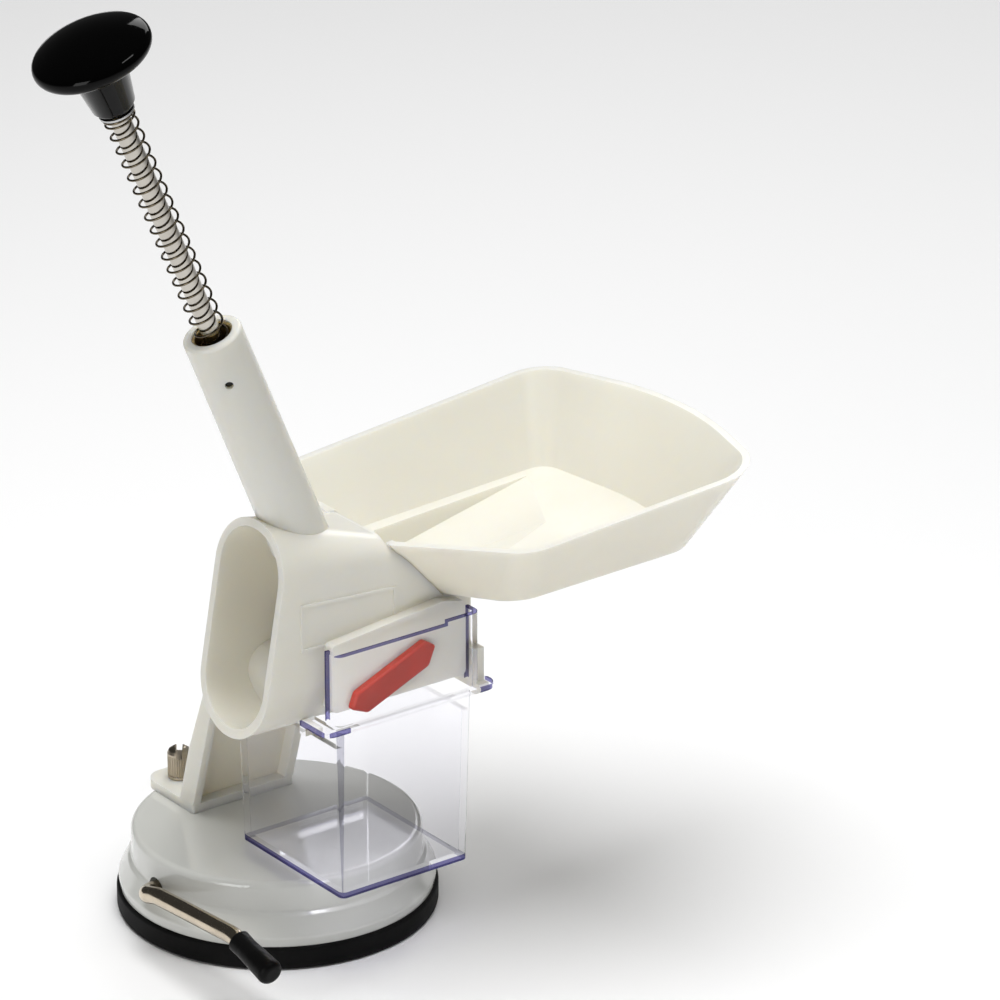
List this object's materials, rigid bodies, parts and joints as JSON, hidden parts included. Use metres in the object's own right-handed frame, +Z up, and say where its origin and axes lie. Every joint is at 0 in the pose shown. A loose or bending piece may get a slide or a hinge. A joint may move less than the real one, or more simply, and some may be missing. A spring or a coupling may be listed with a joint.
{
  "type": "cherry pitter",
  "caption": "Hand cherry pitter on a lever suction base: sprung plunger in a slanted tube, hollow chute body, feed tray and clear pit box.",
  "frame": {"origin": "centre of the suction base, on the surface it stands on", "axes": "+Z up, +X from the fruit outlet towards the feed tray, -Y towards the side of the pit box and the seal"},
  "size_m": [0.2264, 0.1423, 0.31],
  "materials": {
    "rubber_black": "matt black rubber",
    "shell_white": "glossy cool white",
    "nylon_white": "natural moulded plastic",
    "zinc_steel": "zinc plated",
    "nickel": "polished nickel",
    "body_ivory": "satin warm white",
    "brass": "turned",
    "chrome_rod": "polished",
    "tip_steel": "ground",
    "spring_steel": "drawn wire",
    "knob_black": "high gloss black",
    "seal_red": "soft red rubber",
    "box_clear": "clear moulded plastic with a faint violet tint",
    "grip_black": "matt black sleeve"
  },
  "bodies": {
    "frame": {"suction_pad": "rubber_black", "base_shell": "shell_white", "foot_studs": "zinc_steel", "knurled_nuts": "nickel", "support_stand": "body_ivory", "stand_screws": "zinc_steel", "pitter_body": "body_ivory", "guide_sleeve": "brass", "sleeve_pin": "zinc_steel", "pit_seal": "seal_red"},
    "plunger": {"plunger_rod": "chrome_rod", "piercing_tip": "tip_steel", "stop_clip": "spring_steel", "return_spring": "spring_steel", "spring_washer": "zinc_steel", "plunger_knob": "knob_black", "knob_insert": "brass"},
    "lever": {"lever_rod": "nickel", "lever_grip": "grip_black", "axle_clip": "spring_steel", "eccentric_cam": "nylon_white", "cam_pin": "tip_steel"},
    "lift": {"lift_stem": "nylon_white"},
    "box": {"pit_box": "box_clear"},
    "tray": {"feed_tray": "body_ivory"}
  },
  "joints": [
    {"name": "plunger_slide", "type": "slide", "parent": "frame", "child": "plunger", "axis": [0.3827, 0, -0.9239], "range_m": [0, 0.057], "stiffness_N_per_m": 160, "springref_m": -0.02, "deforming": ["return_spring"]},
    {"name": "lever_turn", "type": "hinge", "parent": "frame", "child": "lever", "pos_m": [0, 0, 0.0162], "axis": [-1, 0, 0], "range_deg": [0, 180]},
    {"name": "pad_lift", "type": "slide", "parent": "frame", "child": "lift", "axis": [0, 0, 1], "range_m": [0, 0.0024], "deforming": ["suction_pad"]},
    {"name": "box_pull", "type": "slide", "parent": "frame", "child": "box", "axis": [0, -1, 0], "range_m": [0, 0.06]},
    {"name": "tray_lift", "type": "slide", "parent": "frame", "child": "tray", "axis": [0, 0, 1], "range_m": [0, 0.04]}
  ],
  "couplings": [
    {"joint": "pad_lift", "follows": "lever_turn", "m_per_rad": 0.00076394}
  ]
}
